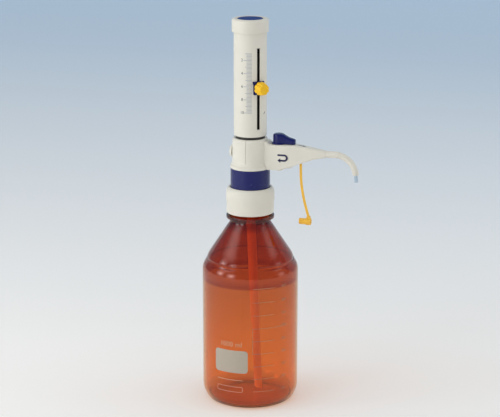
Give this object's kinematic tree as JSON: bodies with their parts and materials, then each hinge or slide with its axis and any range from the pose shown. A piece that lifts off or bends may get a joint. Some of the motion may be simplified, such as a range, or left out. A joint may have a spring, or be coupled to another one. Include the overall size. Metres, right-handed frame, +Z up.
{
  "type": "bottle-top dispenser",
  "caption": "Hand-lifted bottle-top dispenser with a volume slider, lever valve, discharge arm and tethered closure cap, on an amber screw-neck reagent bottle.",
  "frame": {"origin": "middle of the bottle's foot ring, on the surface that it stands on", "axes": "+Z up along the bottle and cylinder axis, +X along the discharge arm"},
  "size_m": [0.1656, 0.101, 0.4077],
  "materials": {
    "amber_glass": "glossy",
    "clear_glass": "glossy",
    "clear_tube": "glossy",
    "white_plastic": "satin",
    "blue_plastic": "satin",
    "yellow_plastic": "satin",
    "orange_strap": "satin",
    "dark_plastic": "satin",
    "fluoropolymer": "satin",
    "ceramic": "polished",
    "seal": "matte",
    "steel": "brushed",
    "spring_metal": "drawn wire"
  },
  "bodies": {
    "bottle": {"bottle": "amber_glass"},
    "seat": {"neck_seal": "seal"},
    "collar": {"collar": "white_plastic"},
    "block": {"valve_block": "blue_plastic", "block_skirt": "white_plastic", "arm_housing": "white_plastic", "rear_cover": "white_plastic", "vent_cap": "white_plastic", "discharge_block": "fluoropolymer", "discharge_valve_seat": "fluoropolymer", "discharge_spring": "spring_metal", "discharge_tube": "clear_tube", "nozzle": "white_plastic", "suction_valve": "fluoropolymer", "suction_tube": "clear_tube", "recirculation_tube": "clear_tube", "cylinder_seal": "seal", "glass_cylinder": "clear_glass", "cylinder_jacket": "dark_plastic", "cylinder_nut": "dark_plastic", "stop_collar": "dark_plastic", "strap_anchor": "orange_strap", "cap_strap": "orange_strap", "nozzle_cap": "orange_strap"},
    "plunger": {"sleeve": "white_plastic", "guide_bush": "dark_plastic", "top_cap": "white_plastic", "cap_disc": "blue_plastic", "piston_rod": "dark_plastic", "rod_nut": "steel", "piston": "fluoropolymer", "piston_seals": "seal"},
    "slider": {"slider_plate": "blue_plastic", "slider_nut": "dark_plastic"},
    "knob": {"clamp_knob": "yellow_plastic", "clamp_screw": "steel"},
    "lever": {"valve_lever": "blue_plastic", "valve_plug": "ceramic", "plug_cap": "white_plastic"},
    "lower_tube": {"suction_tube_lower": "clear_tube"},
    "suction_ball": {"suction_ball": "ceramic"},
    "discharge_ball": {"discharge_ball": "ceramic"}
  },
  "joints": [
    {"name": "dispenser_lift", "type": "slide", "parent": "bottle", "child": "seat", "axis": [0, 0, 1], "range_m": [0, 0.008]},
    {"name": "collar_spin", "type": "hinge", "parent": "seat", "child": "collar", "pos_m": [0, 0, 0.215], "axis": [0, 0, 1], "range_deg": [0, 720]},
    {"name": "block_swivel", "type": "hinge", "parent": "seat", "child": "block", "pos_m": [0, 0, 0.226], "axis": [0, 0, 1], "continuous": true},
    {"name": "plunger_lift", "type": "slide", "parent": "block", "child": "plunger", "axis": [0, 0, 1], "range_m": [0, 0.068]},
    {"name": "volume_slide", "type": "slide", "parent": "plunger", "child": "slider", "axis": [0, 0, 1], "range_m": [-0.042, 0.0388]},
    {"name": "knob_turn", "type": "hinge", "parent": "slider", "child": "knob", "pos_m": [0, 0, 0.3376], "axis": [0.7071, -0.7071, 0], "range_deg": [0, 180]},
    {"name": "lever_turn", "type": "hinge", "parent": "block", "child": "lever", "pos_m": [0.0305, 0, 0.278], "axis": [0, 0, 1], "range_deg": [-90, 0]},
    {"name": "tube_extend", "type": "slide", "parent": "block", "child": "lower_tube", "axis": [-0.0454, 0, 0.999], "range_m": [0, 0.06]},
    {"name": "suction_ball_lift", "type": "slide", "parent": "block", "child": "suction_ball", "axis": [0, 0, 1], "range_m": [0, 0.0014]},
    {"name": "discharge_ball_open", "type": "slide", "parent": "block", "child": "discharge_ball", "axis": [1, 0, 0], "range_m": [0, 0.001], "stiffness_N_per_m": 20, "springref_m": -0.001, "deforming": ["discharge_spring"]}
  ],
  "couplings": [
    {"joint": "collar_spin", "follows": "dispenser_lift", "rad_per_m": 1570.8}
  ]
}
